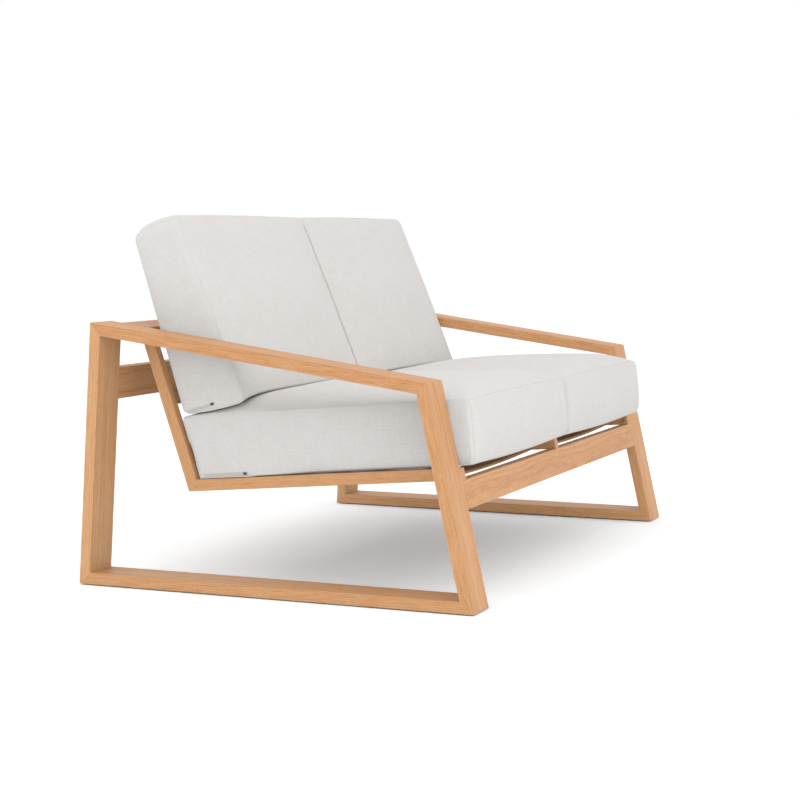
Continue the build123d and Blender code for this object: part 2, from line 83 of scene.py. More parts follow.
floor_half = 9.0
floor_white = 0.92
floor_seen_white = 1.34
sky_strength = 0.86
sky_seen_white = 1.0
lamps = {  # place and size in metres, power in watts
    "front_lamp": ((-2.0, -3.6, 1.6), 2.8, 26.0),
    "side_lamp": ((-4.4, 0.3, 0.9), 2.6, 13.0),
    "overhead_lamp": ((-1.3, 1.1, 3.1), 2.0, 10.0),
}
lamp_aim = Vector((0, 0, 0.35))


def add_node(tree, kind, inputs=(), **settings):
    """Adds a node, with its settings, and sets or links its inputs."""
    made = tree.nodes.new(kind)
    for name, value in settings.items():
        setattr(made, name, value)
    for key, value in dict(inputs).items():
        if isinstance(value, bpy.types.NodeSocket):
            tree.links.new(value, made.inputs[key])
        else:
            made.inputs[key].default_value = value
    return made


def is_seen(tree):
    """Whether a ray looks at a thing for the camera: straight, mirrored or through something clear."""
    path = add_node(tree, "ShaderNodeLightPath")
    seen = path.outputs["Is Camera Ray"]
    for kind in ("Is Glossy Ray", "Is Transmission Ray"):
        either = add_node(tree, "ShaderNodeMath", {0: seen, 1: path.outputs[kind]}, operation="MAXIMUM")
        seen = either.outputs[0]
    return seen


scene = bpy.context.scene
scene.view_settings.view_transform = "Standard"

world = bpy.data.worlds.new("studio_sky")
scene.world = world
world.use_nodes = True
tree = world.node_tree
tree.nodes.clear()
strength = add_node(tree, "ShaderNodeMix", {"Factor": is_seen(tree), 2: sky_strength, 3: sky_seen_white},
                    data_type="FLOAT")
sky = add_node(tree, "ShaderNodeBackground", {"Color": (1, 1, 1, 1), "Strength": strength.outputs[0]})
add_node(tree, "ShaderNodeOutputWorld", {"Surface": sky.outputs[0]})

floor_material = bpy.data.materials.new("seamless_white_floor")
floor_material.use_nodes = True
tree = floor_material.node_tree
tree.nodes.clear()
white = add_node(tree, "ShaderNodeMapRange", {"Value": is_seen(tree), "To Min": floor_white,
                                              "To Max": floor_seen_white})
matt = add_node(tree, "ShaderNodeBsdfDiffuse", {"Color": white.outputs[0]})
add_node(tree, "ShaderNodeOutputMaterial", {"Surface": matt.outputs[0]})

shape = bmesh.new()
bmesh.ops.create_grid(shape, x_segments=1, y_segments=1, size=floor_half)
floor_mesh = bpy.data.meshes.new("floor")
shape.to_mesh(floor_mesh)
shape.free()
floor_mesh.materials.append(floor_material)
floor = bpy.data.objects.new("floor", floor_mesh)
scene.collection.objects.link(floor)

for name, (lamp_place, lamp_size, lamp_power) in lamps.items():
    lamp_data = bpy.data.lights.new(name, "AREA")
    lamp_data.size = lamp_size
    lamp_data.energy = lamp_power
    lamp = bpy.data.objects.new(name, lamp_data)
    lamp.location = lamp_place
    lamp.rotation_euler = (lamp_aim - Vector(lamp_place)).to_track_quat("-Z", "Y").to_euler()
    scene.collection.objects.link(lamp)


# Side frames
# Two closed frames, each of four boards of oiled hardwood, 90 by 25 mm, mitred at the corners. The warm
# brown comes in fine lines along each board, straight at its edges and wavier in the middle of its face, as
# on flat-sawn boards, under the soft sheen of the oil.

wood_light = "#E8B989"
wood_middle = "#DAA16D"
wood_dark = "#B56C37"
thrown_greyness = 0.9  # of the light that the wood throws on the floor and the cloth
ring_width = 4.0 * mm  # a growth ring, drawn about twice as wide as it is so that it shows
fibre_size = (1.8 * mm, 1.8 * mm, 50 * mm)
band_size = (16 * mm, 16 * mm, 700 * mm)
pore_size = (0.6 * mm, 0.6 * mm, 9 * mm)
waver_size = (110 * mm, 110 * mm, 420 * mm)
waver_reach = 13 * mm
waver_detail = 2.0
ripple_size = (22 * mm, 22 * mm, 90 * mm)
ripple_reach = 1.8 * mm
noise_middle = (0.5, 0.5, 0.5)
ring_ends = (0.72, 0.60)  # how light a ring is at its start and its end
ring_middle = ((0.45, 0.62), (0.80, 0.12), (0.90, 0.10))  # and at shares of its width between
ring_step = 0.37  # how fast the rings' strength changes from one to the next
grain_start = -0.20
grain_weights = {"ring": 0.6, "fibre": 0.95, "band": 0.15}
grain_details = {"fibre": 3.0, "band": 2.0, "pore": 0.0}
pore_limits = (0.66, 0.74)
pore_shade = 0.72
grain_relief = 0.25 * mm
relief_strength = 0.35
wood_ior = 1.47
wood_roughness = 0.52
roughness_spread = 0.1


def linear(hex_colour):
    """An sRGB hex colour as the linear values that a shader reads."""
    shares = [int(hex_colour[i:i + 2], 16) / 255 for i in (1, 3, 5)]
    return (*(v / 12.92 if v <= 0.04045 else ((v + 0.055) / 1.055) ** 2.4 for v in shares), 1)


def new_material(name, **sockets):
    """A material with one Principled shader, its plain sockets set, and the shader and the tree."""
    material = bpy.data.materials.new(name)
    material.use_nodes = True
    tree = material.node_tree
    tree.nodes.clear()
    plain = {key.replace("_", " "): value for key, value in sockets.items()}
    shader = add_node(tree, "ShaderNodeBsdfPrincipled", plain)
    add_node(tree, "ShaderNodeOutputMaterial", {"Surface": shader.outputs[0]})
    return material, tree, shader


def per(size):
    """Scale of a pattern whose features have that size in each direction."""
    return tuple(1 / v for v in size)


def wood(name, node, turn, pith, tone=0.0):
    """Wood whose grain runs along a board.

    The turn brings the board's length to Z, the pith is the middle of its tree in mm from the board's own,
    and the tone makes it lighter or darker.
    """
    low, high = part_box(node)
    middle = Euler(turn).to_matrix() @ ((low + high) / 2)
    shift = Vector(pith) * mm - Vector((middle.x, middle.y, 0))
    material, tree, shader = new_material(name, IOR=wood_ior)
    place = add_node(tree, "ShaderNodeTexCoord")
    along = add_node(tree, "ShaderNodeMapping", {"Vector": place.outputs["Object"], "Rotation": turn,
                                                 "Location": shift})
    moved = along.outputs[0]
    for size, reach in ((waver_size, waver_reach), (ripple_size, ripple_reach)):
        scaled = add_node(tree, "ShaderNodeMapping", {"Vector": along.outputs[0], "Scale": per(size)})
        noise = add_node(tree, "ShaderNodeTexNoise",
                         {"Vector": scaled.outputs[0], "Scale": 1.0, "Detail": waver_detail})
        centred = add_node(tree, "ShaderNodeVectorMath", {0: noise.outputs["Color"], 1: noise_middle},
                           operation="SUBTRACT")
        bent = add_node(tree, "ShaderNodeVectorMath", {0: centred.outputs[0], 1: (reach, reach, 0), 2: moved},
                        operation="MULTIPLY_ADD")
        moved = bent.outputs[0]
    flat = add_node(tree, "ShaderNodeVectorMath", {0: moved, 1: (1 / ring_width, 1 / ring_width, 0)},
                    operation="MULTIPLY")
    rings = add_node(tree, "ShaderNodeVectorMath", {0: flat.outputs[0]}, operation="LENGTH")
    phase = add_node(tree, "ShaderNodeMath", {0: rings.outputs["Value"]}, operation="FRACT")
    profile = add_node(tree, "ShaderNodeValToRGB", {"Fac": phase.outputs[0]})
    ramp = profile.color_ramp
    for i, value in enumerate(ring_ends):
        ramp.elements[i].color = (value, value, value, 1)
    for position, value in ring_middle:
        ramp.elements.new(position).color = (value, value, value, 1)
    which = add_node(tree, "ShaderNodeMath", {0: rings.outputs["Value"], 1: ring_step}, operation="MULTIPLY")
    uneven = add_node(tree, "ShaderNodeTexNoise", {"W": which.outputs[0], "Scale": 1.0, "Detail": 1.0},
                      noise_dimensions="1D")
    patterns = {}
    for key, size in (("fibre", fibre_size), ("band", band_size), ("pore", pore_size)):
        scaled = add_node(tree, "ShaderNodeMapping", {"Vector": along.outputs[0], "Scale": per(size)})
        patterns[key] = add_node(tree, "ShaderNodeTexNoise",
                                 {"Vector": scaled.outputs[0], "Scale": 1.0, "Detail": grain_details[key]})
    patterns["ring"] = add_node(tree, "ShaderNodeMath", {0: profile.outputs[0], 1: uneven.outputs[0]},
                                operation="MULTIPLY")
    total = grain_start + tone
    for key, weight in grain_weights.items():
        step = add_node(tree, "ShaderNodeMath", {0: patterns[key].outputs[0], 1: weight, 2: total},
                        operation="MULTIPLY_ADD")
        total = step.outputs[0]
    tint = add_node(tree, "ShaderNodeValToRGB", {"Fac": total})
    ramp = tint.color_ramp
    ramp.elements[0].color = linear(wood_dark)
    ramp.elements[1].color = linear(wood_light)
    ramp.elements.new(0.5).color = linear(wood_middle)
    dashes = add_node(tree, "ShaderNodeMapRange", {
        "Value": patterns["pore"].outputs[0],
        "From Min": pore_limits[0],
        "From Max": pore_limits[1],
        "To Min": 1.0,
        "To Max": pore_shade,
    })
    colour = add_node(tree, "ShaderNodeVectorMath", {0: tint.outputs[0], "Scale": dashes.outputs[0]},
                      operation="SCALE")
    grey = add_node(tree, "ShaderNodeRGBToBW", {0: colour.outputs[0]})
    path = add_node(tree, "ShaderNodeLightPath")
    thrown = add_node(tree, "ShaderNodeMath", {0: path.outputs["Is Diffuse Ray"], 1: thrown_greyness},
                      operation="MULTIPLY")
    toned = add_node(tree, "ShaderNodeMix", {"Factor": thrown.outputs[0], 6: colour.outputs[0],
                                             7: grey.outputs[0]}, data_type="RGBA")
    tree.links.new(toned.outputs[2], shader.inputs["Base Color"])
    rough = add_node(tree, "ShaderNodeMapRange", {
        "Value": patterns["fibre"].outputs[0],
        "To Min": wood_roughness - roughness_spread,
        "To Max": wood_roughness + roughness_spread,
    })
    tree.links.new(rough.outputs[0], shader.inputs["Roughness"])
    bump = add_node(tree, "ShaderNodeBump",
                    {"Height": total, "Strength": relief_strength, "Distance": grain_relief})
    tree.links.new(bump.outputs[0], shader.inputs["Normal"])
    return material


def lengthwise(degrees_up):
    """Turn that brings a board running back at that angle above level to Z."""
    return (math.pi / 2 - math.radians(degrees_up), 0, 0)


crosswise = (0, -math.pi / 2, 0)


def finish(node, material):
    """Gives a CAD piece its material."""
    slots = nodes[node].data.materials
    if len(slots):
        for i in range(len(slots)):
            slots[i] = material
    else:
        slots.append(material)


pith_depth = 58  # mm from a board's middle to its tree's
pith_sides = {"left": 5, "right": -8}
boards = {  # how far each runs up from level in degrees, and its wood's tone
    "runner": (0.0, 0.03),
    "rear_post": (93.48, 0.14),
    "arm_rail": (7.85, -0.05),
    "front_leg": (77.25, 0.0),
}
for side, aside in pith_sides.items():
    for board, (slope, tone) in boards.items():
        node = f"{side}_{board}"
        finish(node, wood(f"oiled_hardwood_{node}", node, lengthwise(slope), (aside, pith_depth, 0), tone))


# Loose tenons and dowels
# Beech tongues glued into slots across every mitre, and beech dowels in the ends of the rails and the
# uprights, all out of sight once the frames are shut. Bare beech is paler than the oiled wood.

beech_pith = (0, 300, 0)
beech_tone = 0.12
beech = wood("bare_beech", "side_frame_tenons", crosswise, beech_pith, beech_tone)
for node in ("side_frame_tenons", "heel_tenons", "rail_dowels", "upright_dowels"):
    finish(node, beech)


# Glides
# Round discs of black moulded polyethylene nailed under the ends of the runners, so that the wood stays
# dry. The plastic is nearly black, with a dull shine and a fine grit from its mould.

plastic_dark = "#141413"
plastic_light = "#242322"
grit_size = 0.8 * mm
grit_relief = 0.05 * mm

glide_plastic, tree, shader = new_material("moulded_polyethylene_black", Roughness=0.55, IOR=1.51)
place = add_node(tree, "ShaderNodeTexCoord")
grit = add_node(tree, "ShaderNodeTexNoise", {"Vector": place.outputs["Object"], "Scale": 1 / grit_size,
                                             "Detail": 2.0})
tint = add_node(tree, "ShaderNodeMix",
                {"Factor": grit.outputs[0], 6: linear(plastic_dark), 7: linear(plastic_light)},
                data_type="RGBA")
tree.links.new(tint.outputs[2], shader.inputs["Base Color"])
bump = add_node(tree, "ShaderNodeBump", {"Height": grit.outputs[0], "Strength": 0.3, "Distance": grit_relief})
tree.links.new(bump.outputs[0], shader.inputs["Normal"])
finish("glides", glide_plastic)


# Rails between the side frames
# Three rails of the same wood, 25 mm thick, dowelled to the side frames: under the seat's front edge,
# between the rear posts and between the arms, where the uprights end.

rails = {  # pith and tone of each
    "front_rail": ((4, 150, 0), 0.0),
    "lower_rear_rail": ((-6, 120, 0), -0.05),
    "top_rail": ((10, 140, 0), -0.14),
}
for node, (pith, tone) in rails.items():
    finish(node, wood(f"oiled_hardwood_{node}", node, crosswise, pith, tone))


# Seat frames
# Three L-shaped frames of the same wood, 22 by 25 mm, each a seat rail and a back upright mitred at the
# heel. The seat rails are screwed to the front rail, and the uprights end in the top rail.

seat_pitch = 5.06  # degrees that the seat rises to the front
back_recline = 18.76  # degrees that the back leans from upright
upright_slope = 90 - back_recline
frame_piths = {"left": (40, 70, 0), "centre": (-52, 64, 0), "right": (46, 76, 0)}
for name, pith in frame_piths.items():
    for piece, slope in (("seat_rail", -seat_pitch), ("back_upright", upright_slope)):
        node = f"{name}_{piece}"
        finish(node, wood(f"oiled_hardwood_{node}", node, lengthwise(slope), pith))


# Slats
# Thin sprung slats of the same wood, six under a seat cushion and two behind a back cushion. They are
# bowed away from the cushion, and their ends are let into the rails or uprights and screwed there.

slat_pith = (160, 40, 0)
slat_tone = -0.04
slat_wood = {
    "seat": wood("oiled_hardwood_seat_slats", "left_seat_slat_3", crosswise, slat_pith, slat_tone),
    "back": wood("oiled_hardwood_back_slats", "left_back_slat_1", crosswise, slat_pith, slat_tone),
}
for node in nodes:
    for part, material in slat_wood.items():
        if f"_{part}_slat_" in node:
            finish(node, material)


# Screws
# Countersunk screws of zinc-plated steel: one through the front end of each seat rail, two in every slat.
# The yellow film over the zinc gives them a thin gold shine, brighter and duller in patches.

zinc_dark = "#9A7440"
zinc_light = "#C9A469"
bloom_size = 2.5 * mm
zinc_roughness = (0.28, 0.5)

zinc, tree, shader = new_material("yellow_zinc_plated_steel", Metallic=1.0)
place = add_node(tree, "ShaderNodeTexCoord")
bloom = add_node(tree, "ShaderNodeTexNoise", {"Vector": place.outputs["Object"], "Scale": 1 / bloom_size,
                                              "Detail": 3.0})
tint = add_node(tree, "ShaderNodeMix",
                {"Factor": bloom.outputs[0], 6: linear(zinc_dark), 7: linear(zinc_light)}, data_type="RGBA")
tree.links.new(tint.outputs[2], shader.inputs["Base Color"])
rough = add_node(tree, "ShaderNodeMapRange", {"Value": bloom.outputs[0], "To Min": zinc_roughness[0],
                                              "To Max": zinc_roughness[1]})
tree.links.new(rough.outputs[0], shader.inputs["Roughness"])
for node in ("frame_screws", "slat_screws"):
    finish(node, zinc)


# Cushions
# Box cushions: a foam block in a sewn cover of off-white linen. Six panels meet in plain seams along the
# edges of the box; the large faces are crowned, and every seam is drawn in a little by its thread. The linen
# is matt, with threads of uneven thickness both ways, and is painted darker along every seam as painted
# shade for the seam's crease.

linen_light = "#E8E6E4"
linen_dark = "#D6D2CE"
slub_length = 42 * mm
slub_width = 1.7 * mm
slub_detail = 3.0
slub_roughness = 0.6
slub_limits = (0.62, 1.38)
slub_share = 0.9
cloud_size = 90 * mm
cloud_share = 0.25
thread_pitch = 1.3 * mm  # drawn about twice as coarse as the real weave
weave_share = 0.12
cloth_relief = 0.5 * mm
seam_painted_shade = 0.09  # painted shade: how much darker the cloth is painted along a seam, for the shadow in its crease
foam_dark = "#E4DDC8"
foam_light = "#F3EEDD"
foam_pore = 1.5 * mm

linen, tree, shader = new_material("slubbed_linen_off_white", Roughness=0.92, IOR=1.45, Sheen_Weight=0.15,
                                   Sheen_Roughness=0.5)
laid = add_node(tree, "ShaderNodeUVMap", uv_map="cut")
slubs = []
for size in ((slub_length, slub_width, 1), (slub_width, slub_length, 1)):
    scaled = add_node(tree, "ShaderNodeMapping", {"Vector": laid.outputs[0], "Scale": per(size)})
    slubs.append(add_node(tree, "ShaderNodeTexNoise", {
        "Vector": scaled.outputs[0],
        "Scale": 1.0,
        "Detail": slub_detail,
        "Roughness": slub_roughness,
    }))
parts = add_node(tree, "ShaderNodeSeparateXYZ", {0: laid.outputs[0]})
waves = []
for axis in ("X", "Y"):
    angle = add_node(tree, "ShaderNodeMath", {0: parts.outputs[axis], 1: 2 * math.pi / thread_pitch},
                     operation="MULTIPLY")
    waves.append(add_node(tree, "ShaderNodeMath", {0: angle.outputs[0]}, operation="SINE"))
weave = add_node(tree, "ShaderNodeMath", {0: waves[0].outputs[0], 1: waves[1].outputs[0]},
                 operation="MULTIPLY")
slub = add_node(tree, "ShaderNodeMath", {0: slubs[0].outputs[0], 1: slubs[1].outputs[0]}, operation="ADD")
cloudy = add_node(tree, "ShaderNodeTexNoise",
                  {"Vector": laid.outputs[0], "Scale": 1 / cloud_size, "Detail": 2.0})
height = add_node(tree, "ShaderNodeMath", {0: weave.outputs[0], 1: weave_share, 2: slub.outputs[0]},
                  operation="MULTIPLY_ADD")
level = add_node(tree, "ShaderNodeMapRange", {
    "Value": height.outputs[0],
    "From Min": slub_limits[0],
    "From Max": slub_limits[1],
    "To Min": 0.0,
    "To Max": slub_share,
})
shade = add_node(tree, "ShaderNodeMath", {0: cloudy.outputs[0], 1: cloud_share, 2: level.outputs[0]},
                 operation="MULTIPLY_ADD")
tint = add_node(tree, "ShaderNodeMix",
                {"Factor": shade.outputs[0], 6: linear(linen_dark), 7: linear(linen_light)}, data_type="RGBA")
# Painted shade: the cloth is darkened along its seams, standing in for the shadow in their creases.
seam_shade_mask = add_node(tree, "ShaderNodeAttribute", attribute_name="seam")
unshaded_share = add_node(tree, "ShaderNodeMath", {0: seam_shade_mask.outputs["Fac"], 1: -seam_painted_shade, 2: 1.0},
                operation="MULTIPLY_ADD")
colour = add_node(tree, "ShaderNodeVectorMath", {0: tint.outputs[2], "Scale": unshaded_share.outputs[0]},
                  operation="SCALE")
tree.links.new(colour.outputs[0], shader.inputs["Base Color"])
bump = add_node(tree, "ShaderNodeBump",
                {"Height": height.outputs[0], "Strength": 0.5, "Distance": cloth_relief})
tree.links.new(bump.outputs[0], shader.inputs["Normal"])

# Foam: cream and quite matt, pitted with its open cells.
foam_material, tree, shader = new_material("open_cell_foam", Roughness=0.95)
place = add_node(tree, "ShaderNodeTexCoord")
pores = add_node(tree, "ShaderNodeTexVoronoi", {"Vector": place.outputs["Object"], "Scale": 1 / foam_pore})
tint = add_node(tree, "ShaderNodeMix",
                {"Factor": pores.outputs["Distance"], 6: linear(foam_dark), 7: linear(foam_light)},
                data_type="RGBA")
tree.links.new(tint.outputs[2], shader.inputs["Base Color"])

# Places in the side view, in mm, from the heel where the seat rails and the uprights meet.
heel = Vector((215.5, 230.0))
pitch = math.radians(seat_pitch)
recline = math.radians(back_recline)
seat_axes = (Vector((-math.cos(pitch), math.sin(pitch))), Vector((math.sin(pitch), math.cos(pitch))))
back_axes = (Vector((math.sin(recline), math.cos(recline))), Vector((-math.cos(recline), math.sin(recline))))
outer_side = 633.5
inner_side = 0.5
seat_length = 640.0  # from the rear to the front seam, as the box is cut
back_length = 416.0
box_thickness = 136.0

# Each panel's line in the side view, as bends: a bend's place at the side seams, its place in the middle of
# the cushion, how full the panel is between the two, and the height that it stays under where it rests. The
# box of a seat cushion runs forward and up, that of a back cushion up and forward.
seat_lines = {
    "low": (((4.0, 5.5), (4.0, 5.5), 2, 1.8), ((150.4, 5.5), (150.4, -26.2), 2, 2.2),
            ((400, 5.5), (400, -26.2), 2, 3.0), ((645, 5.5), (642, 0.5), 2, 3.4)),
    "top": (((-29.2, 136.6), (-29.2, 136.6), 2.4), ((144.2, 141), (144.2, 179), 6),
            ((329.6, 141), (329.6, 189), 2.4), ((620, 143), (620, 174), 2.4), ((645, 143), (643, 143), 2.4)),
    "front": (((645, 5.5), (642, 0.5), 2, 3.4), ((647, 73), (655, 73), 2.4), ((645, 143), (643, 143), 2.4)),
    "rear": (((4.0, 5.5), (4.0, 5.5), 2, 1.8), ((-29.2, 136.6), (-29.2, 136.6), 2.4)),
}
back_lines = {
    "low": (((140, 16), (140, 8), 2.2), ((348, 21), (348, 0.3), 2.2), ((556, 26), (556, 13), 2.2)),
    "top": (((130, 170), (140, 172), 6), ((348, 156), (348, 190), 2.2), ((556, 140), (556, 140), 2.2)),
    "front": (((556, 26), (556, 13), 2.2), ((561, 83), (570, 83), 2.2), ((556, 140), (556, 140), 2.2)),
    "rear": (((140, 16), (140, 8), 2.2), ((128, 80), (140, 80), 6), ((122, 150), (140, 150), 6),
             ((130, 170), (140, 172), 6)),
}
rim_share = 0.02
curve_steps = 48
cell = 11.0
seam_rows = (2.0, 4.5, 8.0, 12.0, 17.0)  # mesh rows beside a seam, in mm from it
merge_distance = 1e-4
soft_reach = 15.0  # rounding of the long edges, along each face
tight_reach = 6.0  # rounding of the seat cushion's edge in the heel
wide_reach = 30.0  # rounding of a back cushion's upper rear edge
fore_reach = 17.0  # rounding of a seat cushion's upper front edge
under_reach = 24.0  # rounding of its lower front edge
side_round = 8.0  # radius of the edges of the side panels
zip_round = 3.0  # radius of those along the zips
low_round = 18.0  # radius of a seat cushion's lower side edges in front of the zip
zip_end = (170.0, 270.0)  # where the one becomes the other
corner_rounds = {"seat": (8.0, 17.0), "back": (10.0, 24.0)}  # of the large faces, at their two ends
settle_run = 60.0  # over which the rows behind a rounded edge come back to their places
nearby = 1.0  # how far to each side of a place its panel's direction is read
centre_steps = 12  # of a line's steps between the places whose mean is the cushion's middle
seam_depth = 1.3
start_shrink = 2.0  # how far inside its place a cover starts before it is filled
foam_inset = 6.0  # how much further in the foam lies
covered_run = 190.0  # of a seat cushion's top, which the back cushion stands on
cloth_frames = 20
cloth_pressure = 4.0
cloth_stiffness = 15
cloth_shear_stiffness = 5
cloth_bending_stiffness = 0.5
cloth_mass = 0.3
cloth_shrink = -0.004  # negative, so it stretches
cloth_quality = 5
least_reach = 1e-6  # these two keep a division from zero
least_move = 1e-12
free_swell = 4.5  # most that a large face swells
side_swell = 2.8  # an outer side panel
inner_swell = 2.2  # and an inner one
panel_ends = {
    "low": (("rear", 0), ("front", 0)),
    "top": (("rear", 1), ("front", 1)),
    "front": (("low", 1), ("top", 1)),
    "rear": (("low", 0), ("top", 0)),
}


def bezier(start, corner, end, share):
    """Place on the curve that cuts a corner."""
    rest = 1 - share
    return start * rest * rest + corner * (2 * rest * share) + end * share * share


def bent_line(bends):
    """A panel's line in the side view, smooth over its bends, and how far along it each place is."""
    control = [bends[0], (bends[0] + bends[1]) / 2, *bends[1:-1], (bends[-2] + bends[-1]) / 2, bends[-1]]
    spans = len(control) - 2
    places = []
    for i in range(curve_steps + 1):
        run = min(i / curve_steps * spans, spans - 1e-9)
        k = int(run)
        start = control[0] if k == 0 else (control[k] + control[k + 1]) / 2
        end = control[-1] if k == spans - 1 else (control[k + 1] + control[k + 2]) / 2
        places.append(bezier(start, control[k + 1], end, run - k))
    steps = [(b - a).length for a, b in zip(places, places[1:])]
    reached = np.concatenate([[0], np.cumsum(steps)])
    return np.array([tuple(place) for place in places]), reached / reached[-1]


def on_line(line, share):
    """Place at a share of a panel's line."""
    places, reached = line
    return Vector((np.interp(share, reached, places[:, 0]), np.interp(share, reached, places[:, 1])))


def cut_rows(length):
    """Where a box is cut into mesh rows: close beside its seams, even between them."""
    inner = length - 2 * seam_rows[-1]
    count = round(inner / cell)
    middle = [seam_rows[-1] + inner * i / count for i in range(1, count)]
    return [*seam_rows, *middle, *(length - v for v in reversed(seam_rows))]


def round_edge(distance, radius):
    """Of a row at a distance from a side seam: its place along the face and its depth below it."""
    quarter = radius * math.pi / 4
    if distance < quarter:
        angle = math.pi / 4 * (1 - distance / quarter)
        return radius * (1 - math.sin(angle)), radius * (1 - math.cos(angle))
    return distance + (radius - quarter) * max(0, 1 - (distance - quarter) / settle_run), 0.0


def cushion_box(size):
    """The flat box of a cushion, cut into rows, with its panels' places in the cloth before they were cut."""
    shape = bmesh.new()
    from_corner = Matrix.Translation((0.5, 0.5, 0.5))
    bmesh.ops.create_cube(shape, size=1, matrix=Matrix.Diagonal((*size, 1)) @ from_corner)
    for axis in range(3):
        across = Vector([float(i == axis) for i in range(3)])
        for place in cut_rows(size[axis]):
            everything = shape.verts[:] + shape.edges[:] + shape.faces[:]
            bmesh.ops.bisect_plane(
                shape, geom=everything, dist=merge_distance, plane_co=across * place, plane_no=across
            )
    cut = shape.loops.layers.uv.new("cut")
    shape.normal_update()
    for face in shape.faces:
        axis = max(range(3), key=lambda i: abs(face.normal[i]))
        first, second = [i for i in range(3) if i != axis]
        for loop in face.loops:
            loop[cut].uv = (loop.vert.co[first] * mm, (loop.vert.co[second] + axis * size[axis]) * mm)
    return shape


def placed(co, size, span, lines, reaches, rounds):
    """Where a point of the flat box comes to lie: in the side view by the box's axes, and across the seat."""
    width, length, thickness = size
    across, along, height = co
    full = {"low": length, "top": length, "front": thickness, "rear": thickness}
    place_along = {"low": along, "top": along, "front": height, "rear": height}

    def side_radius(panel, position):
        """Radius of the side edge at a place along a panel."""
        return float(np.interp(position, zip_end, rounds[panel]))

    def edge(panel, position):
        """Place on a panel's line with its two ends rounded, and the radius of the side edge there."""
        for end, (other, other_end) in enumerate(panel_ends[panel]):
            distance = position if end == 0 else full[panel] - position
            reach = reaches[frozenset((panel, other))]
            if distance < reach:
                corner = on_line(lines[panel], end)
                mine = on_line(lines[panel], abs(end - reach / full[panel]))
                theirs = on_line(lines[other], abs(other_end - reach / full[other]))
                share = (1 - distance / reach) / 2
                radius = side_radius(panel, position) * (1 - share)
                radius += side_radius(other, other_end * full[other]) * share
                return bezier(mine, corner, theirs, share), radius
        return on_line(lines[panel], position / full[panel]), side_radius(panel, position)

    from_side = min(across, width - across)
    towards = 1 if across < width / 2 else -1
    x_side = span[0] if across < width / 2 else span[1]
    on = {
        "low": height == 0,
        "top": height == thickness,
        "rear": along == 0,
        "front": along == length,
    }
    wrap = [panel for panel, is_on in on.items() if is_on]
    if wrap:
        panel = wrap[0]
        flat, radius = edge(panel, place_along[panel])
        step, depth = round_edge(from_side, radius)
        if depth > 0:
            ahead, _ = edge(panel, min(place_along[panel] + nearby, full[panel]))
            behind, _ = edge(panel, max(place_along[panel] - nearby, 0))
            run = ahead - behind
            inwards = Vector((-run.y, run.x)).normalized()
            around = [Vector(place) for line in lines.values() for place in line[0][::centre_steps]]
            centre = sum(around, Vector((0, 0))) / len(around)
            if inwards.dot(centre - flat) < 0:
                inwards = -inwards
            flat = flat + inwards * depth
        return flat, x_side + towards * step
    u = along / length
    w = height / thickness
    ends = {panel: edge(panel, place_along[panel]) for panel in panel_ends}
    corners = {(panel, end): edge(panel, end * full[panel])[0] for panel in ("low", "top") for end in (0, 1)}
    flat = (
        ends["low"][0] * (1 - w) + ends["top"][0] * w + ends["rear"][0] * (1 - u) + ends["front"][0] * u
        - corners["low", 0] * ((1 - u) * (1 - w)) - corners["low", 1] * (u * (1 - w))
        - corners["top", 0] * ((1 - u) * w) - corners["top", 1] * (u * w)
    )
    up = (ends["top"][0] - ends["low"][0]).normalized()
    onward = (ends["front"][0] - ends["rear"][0]).normalized()
    shift = Vector((0, 0))
    most = 0.0
    depth = 0.0
    for panel, distance, direction in (("low", height, up), ("top", thickness - height, -up),
                                       ("rear", along, onward), ("front", length - along, -onward)):
        step, edge_depth = round_edge(distance, ends[panel][1])
        shift += direction * (step - distance)
        most = max(most, step - distance)
        depth = max(depth, edge_depth)
    if shift.length > 0:
        flat = flat + shift.normalized() * most
    return flat, x_side + towards * depth


def corner_shift(co, size, corners):
    """How far a point near a corner of the large faces moves in, across and along, so that it is round."""
    shift = [0.0, 0.0]
    for end, radius in enumerate(corners):
        p = radius - min(co[0], size[0] - co[0])
        q = radius - (co[1] if end == 0 else size[1] - co[1])
        if p > 0 and q > 0:
            shift[0] = p * (1 - math.sqrt(1 - q * q / (2 * radius * radius)))
            shift[1] = q * (1 - math.sqrt(1 - p * p / (2 * radius * radius))) * (1 if end == 0 else -1)
    return shift


def bend_at(from_middle, at_seam, in_middle, fullness, rest=None):
    """A bend of a panel's line at a share of the way from the middle of the cushion to its side."""
    swell = rim_share + (1 - rim_share) * (1 - from_middle ** fullness)
    place = Vector(at_seam).lerp(Vector(in_middle), swell)
    if rest is not None:
        place.y = min(place.y, rest)
    return place


